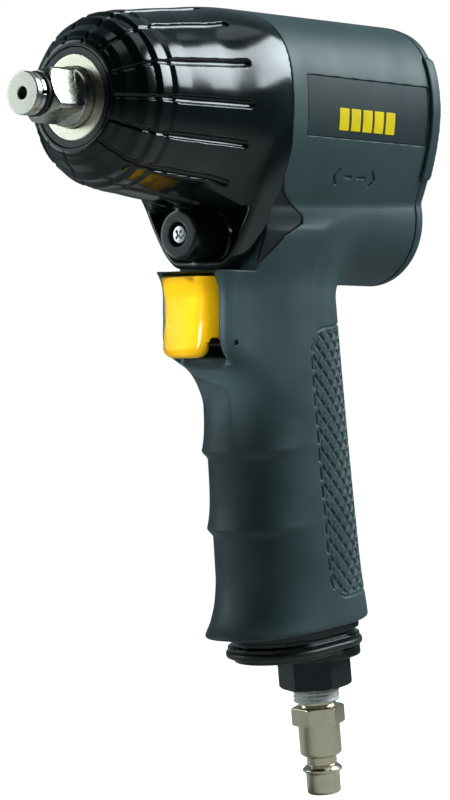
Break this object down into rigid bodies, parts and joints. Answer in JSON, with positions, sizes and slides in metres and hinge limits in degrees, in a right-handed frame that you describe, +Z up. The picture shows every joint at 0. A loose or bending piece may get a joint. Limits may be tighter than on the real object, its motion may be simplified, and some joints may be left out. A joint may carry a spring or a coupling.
{
  "type": "impact wrench",
  "caption": "Pistol-grip pneumatic impact wrench with a square drive, twin-hammer mechanism, vane motor, trigger and reverse dial.",
  "frame": {"origin": "on the drive axis, at the shoulder of the square drive", "axes": "+X forward along the drive axis, +Y to the tool's left, +Z up, away from the grip"},
  "size_m": [0.1503, 0.0592, 0.2318],
  "materials": {
    "gloss_black": "glossy black",
    "slate_composite": "satin slate grey",
    "dark_plastic": "fine grain",
    "panel_plastic": "fine grain",
    "yellow_bar": "satin",
    "yellow_plastic": "glossy",
    "zinc": "bright",
    "alloy": "cast and machined",
    "champagne": "satin",
    "drive_steel": "satin",
    "spring_steel": "bright",
    "bearing_steel": "polished",
    "dark_steel": "hardened",
    "seal_rubber": "matt",
    "gasket": "matt",
    "vane_fibre": "woven laminate",
    "brass": "machined",
    "black_oxide": "black oxide",
    "felt": "felt",
    "ptfe": "waxy",
    "nickel": "champagne nickel"
  },
  "bodies": {
    "tool_body": {"nose_cover": "gloss_black", "cover_screw": "zinc", "hammer_case": "alloy", "nose_ring": "champagne", "case_gasket": "gasket", "motor_housing": "slate_composite", "side_insets": "dark_plastic", "name_panels": "panel_plastic", "panel_bars": "yellow_bar", "case_screws": "zinc", "front_end_plate": "alloy", "rear_end_plate": "alloy", "motor_cylinder": "dark_steel", "cylinder_dowel": "zinc", "front_outer_race": "bearing_steel", "rear_outer_race": "bearing_steel", "rear_gasket": "gasket", "rear_cover": "slate_composite", "detent_ball": "bearing_steel", "detent_spring": "spring_steel", "trigger_pin": "zinc", "trigger_bush": "brass", "rod_seal": "seal_rubber", "valve_seat": "brass", "throttle_spring": "spring_steel", "inlet_bush": "black_oxide", "inlet_seal": "seal_rubber", "inlet_screen": "brass", "muffler_pad": "felt", "exhaust_collar": "gloss_black", "collar_bead": "seal_rubber", "thread_tape": "ptfe", "air_plug": "nickel"},
    "anvil": {"anvil": "drive_steel", "socket_ring": "spring_steel", "socket_seal": "seal_rubber"},
    "rotor": {"rotor": "dark_steel", "rotor_vanes": "vane_fibre", "hammer_cage": "dark_steel", "hammer_pins": "zinc", "front_inner_race": "bearing_steel", "rear_inner_race": "bearing_steel"},
    "hammer_front": {"hammer_front": "dark_steel"},
    "hammer_rear": {"hammer_rear": "dark_steel"},
    "front_balls": {"front_balls": "bearing_steel"},
    "rear_balls": {"rear_balls": "bearing_steel"},
    "reverse_dial": {"reverse_dial": "dark_plastic", "reverse_valve": "brass"},
    "trigger": {"trigger": "yellow_plastic", "trigger_rod": "zinc"},
    "throttle": {"throttle_valve": "seal_rubber"}
  },
  "joints": [
    {"name": "rotor_spin", "type": "hinge", "parent": "tool_body", "child": "rotor", "pos_m": [-0.09, 0, 0], "axis": [1, 0, 0], "continuous": true},
    {"name": "anvil_spin", "type": "hinge", "parent": "tool_body", "child": "anvil", "pos_m": [-0.02, 0, 0], "axis": [1, 0, 0], "continuous": true},
    {"name": "front_ball_orbit", "type": "hinge", "parent": "tool_body", "child": "front_balls", "pos_m": [-0.067, 0, 0], "axis": [1, 0, 0], "continuous": true},
    {"name": "rear_ball_orbit", "type": "hinge", "parent": "tool_body", "child": "rear_balls", "pos_m": [-0.113, 0, 0], "axis": [1, 0, 0], "continuous": true},
    {"name": "hammer_front_rock", "type": "hinge", "parent": "rotor", "child": "hammer_front", "pos_m": [-0.0385, -0.0184, 0], "axis": [1, 0, 0], "range_deg": [-4, 4]},
    {"name": "hammer_rear_rock", "type": "hinge", "parent": "rotor", "child": "hammer_rear", "pos_m": [-0.0505, 0.0184, 0], "axis": [1, 0, 0], "range_deg": [-4, 4]},
    {"name": "reverse_turn", "type": "hinge", "parent": "tool_body", "child": "reverse_dial", "pos_m": [-0.1298, 0, 0], "axis": [1, 0, 0], "range_deg": [0, 90]},
    {"name": "trigger_pull", "type": "slide", "parent": "tool_body", "child": "trigger", "axis": [-1, 0, 0], "range_m": [0, 0.005], "stiffness_N_per_m": 600, "springref_m": -0.001},
    {"name": "throttle_open", "type": "slide", "parent": "tool_body", "child": "throttle", "axis": [-1, 0, 0], "range_m": [0, 0.005], "deforming": ["throttle_spring"]}
  ],
  "couplings": [
    {"joint": "anvil_spin", "follows": "rotor_spin", "ratio": 1},
    {"joint": "front_ball_orbit", "follows": "rotor_spin", "ratio": 0.4},
    {"joint": "rear_ball_orbit", "follows": "rotor_spin", "ratio": 0.4},
    {"joint": "throttle_open", "follows": "trigger_pull", "ratio": 1}
  ]
}
